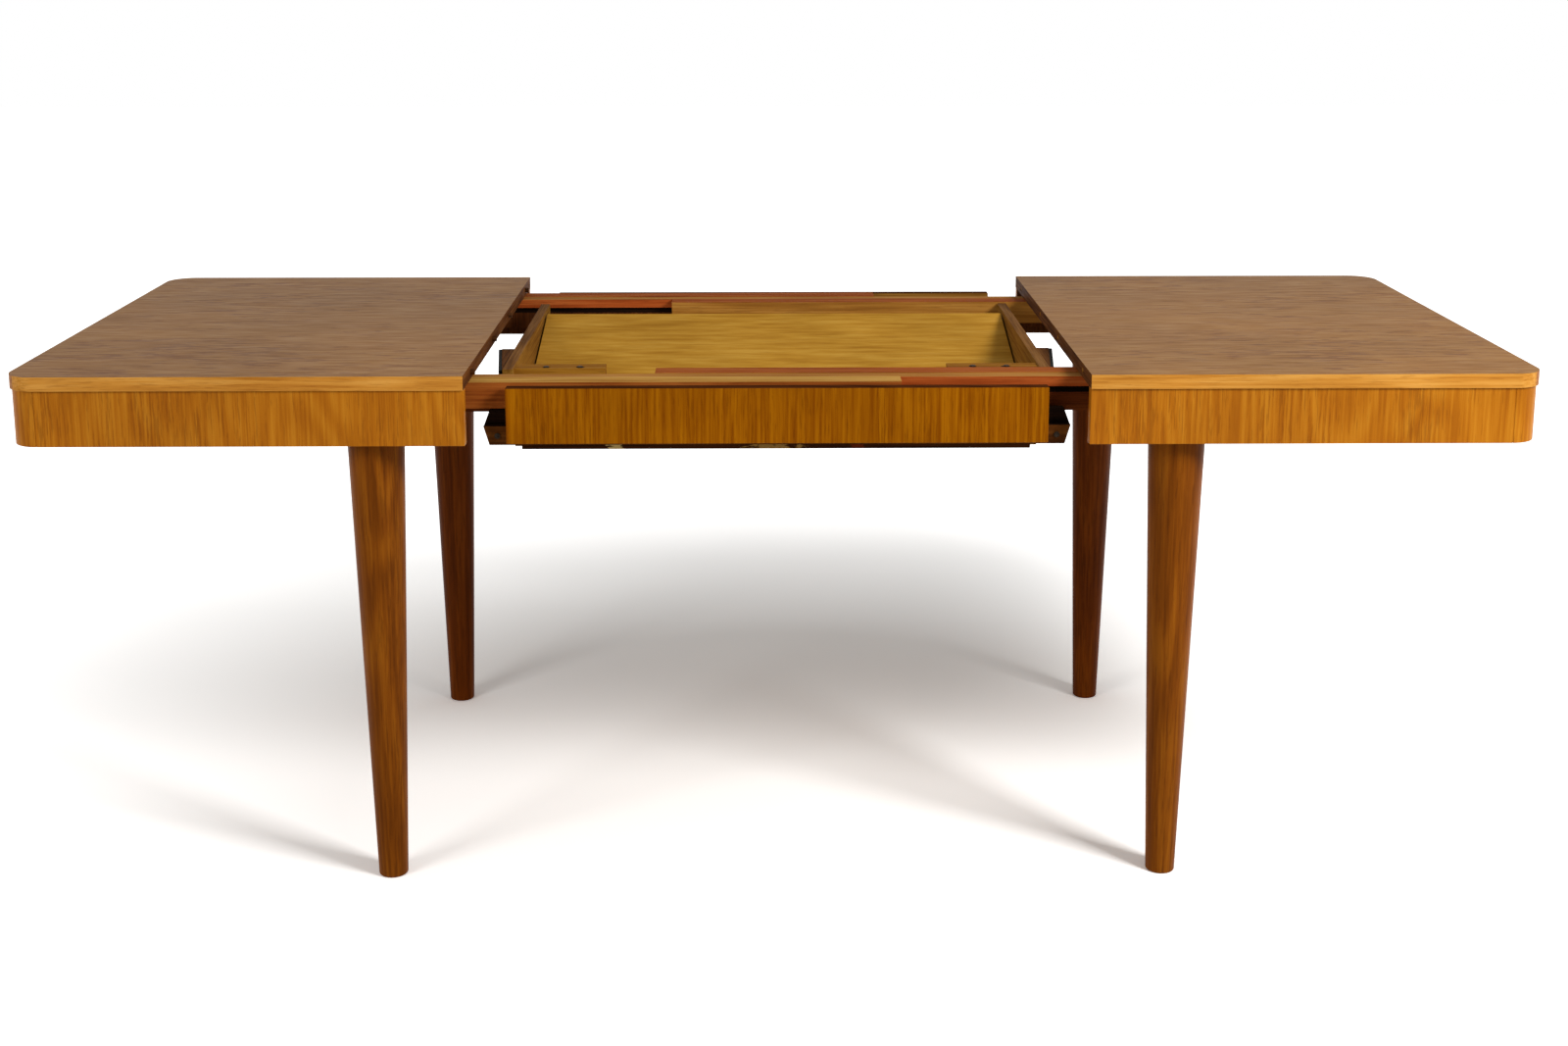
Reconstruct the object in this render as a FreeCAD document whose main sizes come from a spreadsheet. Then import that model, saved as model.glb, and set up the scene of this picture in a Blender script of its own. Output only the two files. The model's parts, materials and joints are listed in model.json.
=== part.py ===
import FreeCAD, Part
import Sketcher
import math
import os

os.makedirs("parts", exist_ok=True)
doc = FreeCAD.newDocument("extending_table")
vector = FreeCAD.Vector

# Driving dimensions: millimetres, and degrees for the leaf's tilt
driving = {
    "table_height": 760,
    "table_depth": 850,
    "half_length": 630,
    "open_shift": 431,
    "top_thick": 20,
    "top_corner": 42,
    "apron_height": 79,
    "apron_thick": 18,
    "apron_inset": 3,
    "leg_top_dia": 80,
    "leg_foot_dia": 42,
    "leg_foot_round": 3,
    "leg_end_gap": 4,
    "leg_side_gap": 7,
    "slide_gap": 1,
    "rail_height": 49,
    "rail_width": 24,
    "rail_setback": 81,
    "runner_height": 37,
    "runner_width": 36,
    "runner_bevel": 12,
    "runner_end_gap": 4,
    "tongue_drop": 16,
    "tongue_height": 7,
    "tongue_depth": 7,
    "groove_gap": 0.7,
    "leg_block_length": 76,
    "leg_block_height": 34,
    "leg_block_margin": 2,
    "end_rail_thick": 30,
    "cross_thick": 15,
    "cross_drop": 44,
    "cross_top_gap": 2,
    "notch_gap": 2,
    "notch_drop": 9,
    "bearer_width": 36,
    "bearer_height": 27,
    "bearer_lift": 6,
    "bearer_overhang": 15,
    "bearer_end_slope": 8,
    "bearer_step_inset": 6,
    "bearer_step_width": 18,
    "bearer_step_gap": 3,
    "centre_apron_gap": 5,
    "centre_apron_thick": 20,
    "centre_apron_height": 79,
    "centre_apron_drop": 3,
    "centre_apron_short": 4,
    "tray_board_thick": 18,
    "tray_board_round": 4,
    "tray_board_height": 46,
    "tray_front_reach": 70,
    "tray_bar_drop": 6,
    "tray_tab_margin": 5,
    "tray_bar_inset": 59.5,
    "tray_bar_width": 30,
    "tray_bar_lift": 16,
    "support_length": 132,
    "support_height": 46,
    "support_drop": 2,
    "side_block_width": 20,
    "side_block_tip": 1,
    "side_block_length": 158,
    "side_block_height": 32,
    "side_block_gap": 4,
    "side_block_drop": 2,
    "side_pad_thick": 5,
    "side_pad_margin": 1,
    "leaf_length": 756,
    "leaf_side_gap": 3,
    "leaf_thick": 18,
    "leaf_tilt": 13,
    "leaf_join_gap": 0.4,
    "leaf_front_gap": 10,
    "leaf_top_gap": 6,
    "leaf_seat_gap": 0.3,
    "hinge_width": 60,
    "hinge_plate_reach": 28,
    "hinge_plate_thick": 2.4,
    "hinge_barrel_dia": 8,
    "hinge_pin_dia": 3.2,
    "hinge_running_gap": 0.06,
    "hinge_gap": 0.5,
    "pin_dia": 8,
    "pin_out": 6,
    "pin_in": 18,
    "pin_near": 100,
    "pin_far": 345,
    "socket_gap": 0.4,
    "socket_spare": 3,
    "screw_dia": 4,
    "screw_head_dia": 8,
    "screw_head_height": 2.5,
    "screw_bite": 12,
    "screw_sink": 5,
    "bore_gap": 0.2,
    "bolt_dia": 8,
    "bolt_bite": 60,
    "bolt_spare": 1.5,
    "washer_dia": 18,
    "washer_thick": 1.6,
    "nut_dia": 14,
    "nut_height": 6,
    "stop_dia": 6,
    "stop_out": 7,
    "stop_in": 14,
    "stop_reach": 11,
    "stop_inset": 12,
    "stop_gap": 0.3,
}
runner_screw_shares = (0.1, 0.37, 0.64, 0.91)
hinge_place_shares = (0.14, 0.5, 0.86)
support_screw_shares = (0.35, 0.72)
bearer_screw_share = 0.7
tray_face_share = 0.9416
support_face_share = 0.8248

sheet = doc.addObject("Spreadsheet::Sheet", "Sizes")
for row, name in enumerate(driving, start=1):
    sheet.set("A%d" % row, name)
    sheet.set("B%d" % row, str(driving[name]))
    sheet.setAlias("B%d" % row, name)
doc.recompute()


class Size:
    # A number together with the sheet expression that gives it
    def __init__(self, value, text):
        self.value = value
        self.text = text

    def __add__(self, other):
        other = as_size(other)
        return Size(self.value + other.value, "(%s + %s)" % (self.text, other.text))

    def __sub__(self, other):
        other = as_size(other)
        return Size(self.value - other.value, "(%s - %s)" % (self.text, other.text))

    def __mul__(self, other):
        other = as_size(other)
        return Size(self.value * other.value, "(%s * %s)" % (self.text, other.text))

    def __truediv__(self, other):
        other = as_size(other)
        return Size(self.value / other.value, "(%s / %s)" % (self.text, other.text))

    def __neg__(self):
        return Size(-self.value, "(-1 * %s)" % self.text)


def as_size(item):
    if isinstance(item, Size):
        return item
    return Size(item, "(%r)" % item if item else "0")


def sine(angle):
    return Size(math.sin(math.radians(angle.value)), "sin(%s * 1 deg)" % angle.text)


def cosine(angle):
    return Size(math.cos(math.radians(angle.value)), "cos(%s * 1 deg)" % angle.text)


def tangent(angle):
    return Size(math.tan(math.radians(angle.value)), "tan(%s * 1 deg)" % angle.text)


class Sheet:
    pass


size = Sheet()
for name in driving:
    setattr(size, name, Size(driving[name], "Sizes." + name))

nodes = []


# Helpers that make one bound object each
def drive(item, **values):
    for key in values:
        item.setExpression(key, as_size(values[key]).text)


def move(item, x=0, y=0, z=0):
    item.setExpression("Placement.Base.x", as_size(x).text)
    item.setExpression("Placement.Base.y", as_size(y).text)
    item.setExpression("Placement.Base.z", as_size(z).text)


def add(kind, label):
    item = doc.addObject(kind, label)
    item.Label = label
    return item


def keep(item):
    nodes.append(item)
    return item


def box(label, x, y, z):
    item = add("Part::Box", label)
    drive(item, Length=x[1] - x[0], Width=y[1] - y[0], Height=z[1] - z[0])
    move(item, x[0], y[0], z[0])
    return item


turns = {
    "x": FreeCAD.Rotation(vector(0, 1, 0), 90),
    "y": FreeCAD.Rotation(vector(1, 0, 0), -90),
    "z": FreeCAD.Rotation(),
}


def rod(label, along, radius, length, x, y, z):
    item = add("Part::Cylinder", label)
    item.Placement = FreeCAD.Placement(vector(), turns[along])
    drive(item, Radius=radius, Height=length)
    move(item, x, y, z)
    return item


def group(label, items):
    item = add("Part::Compound", label)
    item.Links = items
    return item


def fuse(label, items):
    item = add("Part::MultiFuse", label)
    item.Shapes = items
    return item


def cut(label, base, tools):
    item = add("Part::Cut", label)
    item.Base = base
    item.Tool = tools[0] if len(tools) == 1 else group(label + "_tools", tools)
    return item


def plane_of(body, role):
    return [item for item in body.Origin.OriginFeatures if item.Role == role][0]


def pin_point(sketch, index, kind, item, axis):
    item = as_size(item)
    if item.text == "0":
        sketch.addConstraint(Sketcher.Constraint("PointOnObject", index, 1, axis))
        return
    number = sketch.addConstraint(Sketcher.Constraint(kind, -1, 1, index, 1, item.value))
    sketch.setExpression("Constraints[%d]" % number, item.text)


def draw(body, name, role, points):
    sketch = body.newObject("Sketcher::SketchObject", name)
    sketch.AttachmentSupport = [(plane_of(body, role), "")]
    sketch.MapMode = "FlatFace"
    count = len(points)
    spots = [vector(as_size(u).value, as_size(v).value, 0) for u, v in points]
    for index in range(count):
        sketch.addGeometry(Part.LineSegment(spots[index], spots[(index + 1) % count]), False)
    for index in range(count):
        sketch.addConstraint(Sketcher.Constraint("Coincident", index, 2, (index + 1) % count, 1))
    for index, (u, v) in enumerate(points):
        pin_point(sketch, index, "DistanceX", u, -2)
        pin_point(sketch, index, "DistanceY", v, -1)
    return sketch


def bar(label, role, points, depth):
    body = add("PartDesign::Body", label)
    sketch = draw(body, label + "_outline", role, points)
    pad = body.newObject("PartDesign::Pad", label + "_pad")
    pad.Profile = sketch
    drive(pad, Length=depth)
    doc.recompute()
    return body


def soften(body, kind, chosen, **values):
    names = []
    for number, edge in enumerate(body.Tip.Shape.Edges, start=1):
        if chosen(edge):
            names.append("Edge%d" % number)
    base = body.Tip
    feature = body.newObject(kind, body.Label + "_" + kind.split("::")[1].lower())
    feature.Base = (base, names)
    drive(feature, **values)
    doc.recompute()
    return body


def near(first, second):
    return abs(first - second.value) < 0.01


def upright(edge):
    ends = edge.Vertexes
    if len(ends) != 2:
        return False
    return abs(ends[0].X - ends[1].X) + abs(ends[0].Y - ends[1].Y) < 0.01


# Places shared by several pieces
under_top = size.table_height - size.top_thick
half_depth = size.table_depth / 2
half_end = size.open_shift + size.half_length
apron_face = half_depth - size.apron_inset
apron_back = apron_face - size.apron_thick
apron_foot = under_top - size.apron_height
closed_room = size.half_length - size.apron_inset - size.apron_thick
leg_radius = size.leg_top_dia / 2
leg_x = closed_room - size.leg_end_gap - leg_radius
leg_y = apron_back - size.leg_side_gap - leg_radius
rail_top = under_top - size.slide_gap
rail_foot = rail_top - size.rail_height
rail_centre = apron_back - size.rail_setback
rail_in = rail_centre - size.rail_width / 2
rail_out = rail_centre + size.rail_width / 2
rail_end = leg_x + size.leg_block_length / 2
runner_foot = under_top - size.runner_height
runner_reach = closed_room - size.runner_end_gap - size.open_shift
runner_start = half_end - size.apron_inset - size.apron_thick
outer_in = rail_out + size.slide_gap
outer_out = outer_in + size.runner_width
inner_out = rail_in - size.slide_gap
inner_in = inner_out - size.runner_width
block_foot = rail_foot - size.leg_block_height
centre_apron_out = apron_back - size.centre_apron_gap
centre_apron_in = centre_apron_out - size.centre_apron_thick
bearer_in = centre_apron_in - size.bearer_width
cross_inner = size.leaf_length / 2 + size.leaf_side_gap
cross_out = cross_inner + size.cross_thick
cross_foot = rail_foot - size.cross_drop
cross_top = under_top - size.cross_top_gap
notch_in = inner_in - size.notch_gap
notch_floor = runner_foot - size.notch_drop
bearer_foot = cross_foot + size.bearer_lift
bearer_end = cross_out + size.bearer_overhang
support_top = cross_top - size.support_drop
support_foot = support_top - size.support_height
tray_out = inner_in * tray_face_share
tray_front = tray_out - size.tray_board_thick
support_in = inner_in * support_face_share
leaf_deep = half_depth
leaf_stack = size.leaf_thick * 2 + size.leaf_join_gap
leaf_x = -(size.leaf_length / 2)
leaf_y = -support_in + size.leaf_front_gap + leaf_stack * sine(size.leaf_tilt)
leaf_z = (under_top - size.leaf_top_gap - leaf_deep * sine(size.leaf_tilt)
          - leaf_stack * cosine(size.leaf_tilt))
leaf_back = leaf_y + leaf_deep * cosine(size.leaf_tilt)
tray_foot = support_foot - size.tray_board_height
tray_bar_foot = leaf_z - size.tray_bar_drop
tray_bar_start = leaf_y + size.tray_front_reach
tab_foot = tray_bar_foot - size.tray_tab_margin
screw_radius = size.screw_dia / 2
head_radius = size.screw_head_dia / 2
drill_radius = screw_radius + size.bore_gap
screw_bite = size.screw_bite + size.bore_gap
ends = {"left": -1, "right": 1}
faces = {"front": -1, "back": 1}


def spread(sign, near_place, far_place):
    # The span from near to far on one side of the middle
    if sign > 0:
        return (near_place, far_place)
    return (-far_place, -near_place)


# Fixed rails, with a groove on both sides for the runners' tongues
def fixed_rail(face):
    groove_height = size.tongue_height + size.groove_gap * 2
    groove_depth = size.tongue_depth + size.groove_gap - size.slide_gap
    groove_top = size.rail_height + size.slide_gap - size.tongue_drop + size.groove_gap
    groove_foot = groove_top - groove_height
    wide = size.rail_width
    points = [
        (0, 0),
        (wide, 0),
        (wide, groove_foot),
        (wide - groove_depth, groove_foot),
        (wide - groove_depth, groove_top),
        (wide, groove_top),
        (wide, size.rail_height),
        (0, size.rail_height),
        (0, groove_top),
        (groove_depth, groove_top),
        (groove_depth, groove_foot),
        (0, groove_foot),
    ]
    label = "fixed_rail_" + face
    body = bar(label + "_blank", "YZ_Plane", points, rail_end * 2)
    move(body, -rail_end, spread(faces[face], rail_in, rail_out)[0], rail_foot)
    return keep(cut(label, body, rail_stop_tools(face)))


# Stop pins: dowels in the rails that the runners' own pins meet when the table is open
stop_radius = size.stop_dia / 2
stop_level = runner_foot - size.stop_out + stop_radius - size.stop_gap
outer_stop_x = runner_reach - size.stop_inset
rail_stop_x = outer_stop_x - size.stop_dia - size.stop_gap


def rail_stop(face, radius, name):
    # One rod for the left half's runner and one for the right half's
    items = []
    length = size.stop_in + size.stop_reach
    span_out = spread(faces[face], rail_out - size.stop_in, rail_out + size.stop_reach)
    span_in = spread(faces[face], rail_in - size.stop_reach, rail_in + size.stop_in)
    label = "%s_%s" % (name, face)
    items.append(rod(label + "_outer", "y", radius, length, rail_stop_x, span_out[0], stop_level))
    items.append(rod(label + "_inner", "y", radius, length, -rail_stop_x, span_in[0], stop_level))
    return items


def rail_stop_tools(face):
    return rail_stop(face, stop_radius + size.bore_gap / 2, "rail_stop_bore")


for face in faces:
    fixed_rail(face)
rods = rail_stop("front", stop_radius, "rail_stop") + rail_stop("back", stop_radius, "rail_stop")
keep(group("rail_stop_pins", rods))


# Legs, turned, with a rounded foot and a bolt hole in the top
def leg(face, end):
    label = "leg_%s_%s" % (face, end)
    points = [
        (0, 0),
        (size.leg_foot_dia / 2, 0),
        (leg_radius, block_foot),
        (0, block_foot),
    ]
    body = add("PartDesign::Body", label + "_blank")
    sketch = draw(body, label + "_outline", "XZ_Plane", points)
    turned = body.newObject("PartDesign::Revolution", label + "_turned")
    turned.Profile = sketch
    turned.ReferenceAxis = (sketch, ["V_Axis"])
    turned.Angle = 360
    doc.recompute()
    foot = size.leg_foot_dia / 2
    soften(body, "PartDesign::Fillet",
           lambda edge: hasattr(edge.Curve, "Radius") and near(edge.Curve.Radius, foot),
           Radius=size.leg_foot_round)
    x = leg_x * ends[end]
    y = leg_y * faces[face]
    move(body, x, y)
    hole = rod(label + "_bore", "z", size.bolt_dia / 2 + size.bore_gap, size.bolt_bite + size.bore_gap,
               x, y, block_foot - size.bolt_bite - size.bore_gap)
    keep(cut(label, body, [hole]))


# Leg blocks under the ends of the fixed rails
def leg_block(face, end):
    label = "leg_block_%s_%s" % (face, end)
    half = size.leg_block_length / 2
    blank = box(label + "_blank", spread(ends[end], leg_x - half, leg_x + half),
                spread(faces[face], rail_in, leg_y + leg_radius - size.leg_block_margin),
                (block_foot, rail_foot))
    hole = rod(label + "_bore", "z", size.bolt_dia / 2 + size.bore_gap, size.leg_block_height,
               leg_x * ends[end], leg_y * faces[face], block_foot)
    keep(cut(label, blank, [hole]))


# One bolt with its washer and nut through each leg block
def leg_bolt(face, end):
    label = "leg_bolt_%s_%s" % (face, end)
    x = leg_x * ends[end]
    y = leg_y * faces[face]
    above = size.washer_thick + size.nut_height
    shank = rod(label + "_shank", "z", size.bolt_dia / 2,
                size.bolt_bite + size.leg_block_height + above + size.bolt_spare,
                x, y, block_foot - size.bolt_bite)
    washer = rod(label + "_washer", "z", size.washer_dia / 2, size.washer_thick, x, y, rail_foot)
    nut = add("Part::Prism", label + "_nut")
    nut.Polygon = 6
    drive(nut, Circumradius=size.nut_dia / 2, Height=size.nut_height)
    move(nut, x, y, rail_foot + size.washer_thick)
    return fuse(label, [shank, washer, nut])


bolts = []
for face in faces:
    for end in ends:
        leg(face, end)
        leg_block(face, end)
        bolts.append(leg_bolt(face, end))
keep(group("leg_bolts", bolts))


# End rails between the leg blocks
for end in ends:
    half = size.end_rail_thick / 2
    keep(box("end_rail_" + end, spread(ends[end], leg_x - half, leg_x + half),
             (-rail_in, rail_in), (block_foot, rail_foot)))


# Screws that hold the apron bearers to the ends of the cross-members
bearer_screw_x = cross_inner + size.cross_thick * bearer_screw_share
bearer_screw_z = bearer_foot + size.bearer_height / 2


def bearer_screw(face, end):
    label = "bearer_screw_%s_%s" % (face, end)
    x = bearer_screw_x * ends[end]
    shank_span = spread(faces[face], bearer_in - size.screw_bite, centre_apron_in)
    head_span = spread(faces[face], centre_apron_in, centre_apron_in + size.screw_head_height)
    shank = rod(label + "_shank", "y", screw_radius, size.screw_bite + size.bearer_width,
                x, shank_span[0], bearer_screw_z)
    head = rod(label + "_head", "y", head_radius, size.screw_head_height,
               x, head_span[0], bearer_screw_z)
    return fuse(label, [shank, head])


def bearer_bore(face, end, name):
    span = spread(faces[face], bearer_in - screw_bite, centre_apron_in)
    return rod(name, "y", drill_radius, screw_bite + size.bearer_width,
               bearer_screw_x * ends[end], span[0], bearer_screw_z)


keep(group("bearer_screws", [bearer_screw(face, end) for face in faces for end in ends]))


# Cross-members, stepped at both ends under the inner runners and the fixed rails
def cross_member(end):
    label = "cross_member_" + end
    low = bearer_in
    rise = cross_foot - tab_foot
    seat = rail_foot - tab_foot
    floor = notch_floor - tab_foot
    top = cross_top - tab_foot
    tab_start = low + tray_bar_start - size.tray_tab_margin
    tab_stop = low + tray_bar_start + size.tray_bar_width + size.tray_tab_margin
    points = [
        (0, rise),
        (tab_start, rise),
        (tab_start, 0),
        (tab_stop, 0),
        (tab_stop, rise),
        (low * 2, rise),
        (low * 2, seat),
        (low + rail_in, seat),
        (low + rail_in, floor),
        (low + notch_in, floor),
        (low + notch_in, top),
        (low - notch_in, top),
        (low - notch_in, floor),
        (low - rail_in, floor),
        (low - rail_in, seat),
        (0, seat),
    ]
    body = bar(label + "_blank", "YZ_Plane", points, size.cross_thick)
    move(body, spread(ends[end], cross_inner, cross_out)[0], -low, tab_foot)
    bores = [bearer_bore(face, end, "%s_bore_%s" % (label, face)) for face in faces]
    keep(cut(label, body, bores))


for end in ends:
    cross_member(end)


# Apron bearers and the centre aprons that they carry
def bearer_strip(label, outline, span, foot):
    strip = bar(label, "XZ_Plane", outline, span[1] - span[0])
    move(strip, -bearer_end, span[1], foot)
    return strip


for face in faces:
    label = "apron_bearer_" + face
    long = bearer_end * 2
    slope = size.bearer_end_slope
    high = size.bearer_height
    step_foot = bearer_foot + high
    step_high = runner_foot - size.bearer_step_gap - step_foot
    step_in = bearer_in + size.bearer_step_inset
    lower = bearer_strip(label + "_lower", [(slope, 0), (long - slope, 0), (long, high), (0, high)],
                         spread(faces[face], bearer_in, centre_apron_in), bearer_foot)
    step = bearer_strip(label + "_step",
                        [(0, 0), (long, 0), (long - slope, step_high), (slope, step_high)],
                        spread(faces[face], step_in, step_in + size.bearer_step_width), step_foot)
    bores = [bearer_bore(face, end, "%s_bore_%s" % (label, end)) for end in ends]
    keep(cut(label, fuse(label + "_strips", [lower, step]), bores))
    half = cross_inner - size.centre_apron_short
    top = under_top - size.centre_apron_drop
    keep(box("centre_apron_" + face, (-half, half),
             spread(faces[face], centre_apron_in, centre_apron_out),
             (top - size.centre_apron_height, top)))


# Support blocks at the front of the well, screwed down to the tray's front board
def support_screw_x(end, share):
    return (cross_inner - size.support_length * share) * ends[end]


support_screw_y = -(tray_front + size.tray_board_thick / 2)
support_bite_foot = support_foot - size.screw_bite


def support_screw(end, index):
    label = "support_screw_%s_%d" % (end, index)
    x = support_screw_x(end, support_screw_shares[index])
    shank = rod(label + "_shank", "z", screw_radius, support_top - support_bite_foot,
                x, support_screw_y, support_bite_foot)
    head = rod(label + "_head", "z", head_radius, size.screw_head_height - size.support_drop / 2,
               x, support_screw_y, support_top)
    return fuse(label, [shank, head])


def support_bore(end, index, name):
    foot = support_foot - screw_bite
    return rod(name, "z", drill_radius, support_top - foot,
               support_screw_x(end, support_screw_shares[index]), support_screw_y, foot)


pairs = [(end, index) for end in ends for index in range(len(support_screw_shares))]
keep(group("support_screws", [support_screw(end, index) for end, index in pairs]))
for end in ends:
    label = "support_block_" + end
    blank = box(label + "_blank",
                spread(ends[end], cross_inner - size.support_length, cross_inner),
                (-tray_out, -support_in), (support_foot, support_top))
    bores = [support_bore(end, index, "%s_bore_%d" % (label, index))
             for index in range(len(support_screw_shares))]
    keep(cut(label, blank, bores))


# Tray front board between the cross-members, with rounded lower corners
def tray_front_board():
    label = "tray_front_board"
    wide = cross_inner * 2
    high = size.tray_board_height
    points = [(0, 0), (wide, 0), (wide, high), (0, high)]
    body = bar(label + "_blank", "XZ_Plane", points, size.tray_board_thick)
    soften(body, "PartDesign::Fillet",
           lambda edge: edge.BoundBox.ZMax < high.value / 2 and edge.BoundBox.XLength < 0.01,
           Radius=size.tray_board_round)
    move(body, -cross_inner, -tray_front, tray_foot)
    bores = [support_bore(end, index, "%s_bore_%s_%d" % (label, end, index)) for end, index in pairs]
    keep(cut(label, body, bores))


tray_front_board()


# Side blocks outside the cross-members, wedges that narrow to the front, each with a black pad
def wedge(label, end, near_side, far_side, span, foot, high):
    # A side is given as its distances from the cross-member, at the front and at the back
    sign = ends[end]
    points = [
        (near_side[0] * sign, 0),
        (far_side[0] * sign, 0),
        (far_side[1] * sign, span[1] - span[0]),
        (near_side[1] * sign, span[1] - span[0]),
    ]
    body = bar(label, "XY_Plane", points, high)
    move(body, cross_out * sign, span[0], foot)
    return body


pads = []
for end in ends:
    start = -(notch_in - size.side_block_gap)
    stop = start + size.side_block_length
    foot = cross_top - size.side_block_drop - size.side_block_height
    block = (size.side_block_tip, size.side_block_width)
    pad = (block[0] + size.side_pad_thick, block[1] + size.side_pad_thick)
    keep(wedge("side_block_" + end, end, (as_size(0), as_size(0)), block, (start, stop),
               foot, size.side_block_height))
    pads.append(wedge("side_pad_" + end, end, block, pad, (start, stop),
                      foot + size.side_pad_margin, size.side_block_height - size.side_pad_margin * 2))
keep(group("side_pads", pads))


# The stowed leaf lies tilted, low at the front. Its own frame starts at the lower panel's
# lower front edge, with y along the panel and z through its thickness
def leaf_under(y):
    # Height of the leaf's underside above a place on the y axis
    return leaf_z + (y - leaf_y) * tangent(size.leaf_tilt) - size.leaf_seat_gap


def tilt_in(item):
    item.setExpression(
        "Placement",
        "create(<<placement>>; create(<<vector>>; %s; %s; %s); "
        "create(<<rotation>>; create(<<vector>>; 1; 0; 0); %s))"
        % (leaf_x.text, leaf_y.text, leaf_z.text, size.leaf_tilt.text))
    return item


# Tray bars between the cross-members, with sloping tops that carry the leaf
def tray_bar(label, start, foot):
    wide = size.tray_bar_width
    points = [
        (0, 0),
        (wide, 0),
        (wide, leaf_under(start + wide) - foot),
        (0, leaf_under(start) - foot),
    ]
    body = bar(label, "YZ_Plane", points, cross_inner * 2)
    move(body, -cross_inner, start, foot)
    keep(body)


tray_bar("tray_front_bar", tray_bar_start, tray_bar_foot)
tray_bar("tray_back_bar", leaf_back - size.tray_bar_inset, cross_foot + size.tray_bar_lift)


# Hinges between the two leaf panels, let into the panels' inner faces
axis_y = leaf_deep + size.leaf_join_gap / 2
axis_z = size.leaf_thick + size.leaf_join_gap / 2
barrel_radius = size.hinge_barrel_dia / 2
barrel_clear = barrel_radius + size.hinge_gap
knuckle_end = size.hinge_width / 6


def hinge_x(share):
    return size.leaf_length * share


def leaf_side(panel, low, high):
    # A span through the thickness, counted from the axis into one panel
    if panel == "upper":
        return (axis_z + low, axis_z + high)
    return (axis_z - high, axis_z - low)


def knuckle_spans(panel, x):
    half = size.hinge_width / 2
    inner = knuckle_end - size.hinge_gap / 2
    outer = knuckle_end + size.hinge_gap / 2
    if panel == "lower":
        return [(x - inner, x + inner)]
    return [(x - half, x - outer), (x + outer, x + half)]


def hinge_half(panel, index, share):
    label = "hinge_%s_%d" % (panel, index)
    x = hinge_x(share)
    half = size.hinge_width / 2
    skin = size.leaf_join_gap / 2
    flat = leaf_side(panel, skin, skin + size.hinge_plate_thick)
    items = [box(label + "_plate", (x - half, x + half),
                 (axis_y - size.hinge_plate_reach, axis_y - barrel_clear), flat)]
    bore = size.hinge_pin_dia / 2
    if panel == "upper":
        bore = bore + size.hinge_running_gap
    bores = []
    for number, span in enumerate(knuckle_spans(panel, x)):
        name = "%s_knuckle_%d" % (label, number)
        items.append(box(name + "_neck", span, (axis_y - barrel_clear, axis_y), flat))
        items.append(rod(name, "x", barrel_radius, span[1] - span[0], span[0], axis_y, axis_z))
        bores.append(rod(name + "_bore", "x", bore, span[1] - span[0], span[0], axis_y, axis_z))
    return cut(label, fuse(label + "_blank", items), bores)


for panel in ("lower", "upper"):
    halves = [hinge_half(panel, index, share) for index, share in enumerate(hinge_place_shares)]
    keep(tilt_in(group("leaf_hinges_" + panel, halves)))
pins = []
for index, share in enumerate(hinge_place_shares):
    start = hinge_x(share) - size.hinge_width / 2
    pins.append(rod("hinge_pin_%d" % index, "x", size.hinge_pin_dia / 2, size.hinge_width,
                    start, axis_y, axis_z))
keep(tilt_in(group("leaf_hinge_pins", pins)))


# Leaf panels, with mortises for the hinges and sockets for the left half's pins
socket_radius = size.pin_dia / 2 + size.socket_gap
socket_deep = size.pin_out + size.socket_spare


def leaf_panel(panel):
    label = "leaf_" + panel
    skin = size.leaf_join_gap / 2
    thick = leaf_side(panel, skin, skin + size.leaf_thick)
    blank = box(label + "_blank", (as_size(0), size.leaf_length), (as_size(0), leaf_deep), thick)
    tools = []
    for index, share in enumerate(hinge_place_shares):
        x = hinge_x(share)
        half = size.hinge_width / 2 + size.bore_gap
        name = "%s_mortise_%d" % (label, index)
        tools.append(box(name + "_plate", (x - half, x + half),
                         (axis_y - size.hinge_plate_reach - size.bore_gap, axis_y),
                         leaf_side(panel, as_size(0), skin + size.hinge_plate_thick)))
        tools.append(box(name + "_barrel", (x - half, x + half), (axis_y - barrel_clear, axis_y),
                         leaf_side(panel, as_size(0), barrel_clear)))
    middle = thick[0] + size.leaf_thick / 2
    for index, place in enumerate((size.pin_near, size.pin_far)):
        tools.append(rod("%s_socket_%d" % (label, index), "x", socket_radius, socket_deep,
                         0, leaf_deep - place, middle))
    merged = fuse(label + "_cuts", tools)
    keep(tilt_in(cut(label, blank, [merged])))


for panel in ("lower", "upper"):
    leaf_panel(panel)


# Runners: outer ones on the left half, inner ones on the right half
def runner_span(end, face):
    if end == "left":
        return spread(faces[face], outer_in, outer_out)
    return spread(faces[face], inner_in, inner_out)


def runner_tongue_low(end, face):
    # True where the tongue points towards smaller y
    return (end == "left") == (face == "back")


def runner_screw_x(end, share):
    return (size.open_shift + size.half_length * share) * ends[end]


def runner_middle(end, face):
    span = runner_span(end, face)
    return (span[0] + span[1]) / 2


def runner_screw(end, face, index):
    label = "runner_screw_%s_%s_%d" % (end, face, index)
    x = runner_screw_x(end, runner_screw_shares[index])
    y = runner_middle(end, face)
    seat = runner_foot + size.screw_sink
    head = rod(label + "_head", "z", head_radius, size.screw_head_height, x, y,
               seat - size.screw_head_height)
    shank = rod(label + "_shank", "z", screw_radius, under_top - seat + size.screw_bite, x, y, seat)
    return fuse(label, [head, shank])


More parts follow.
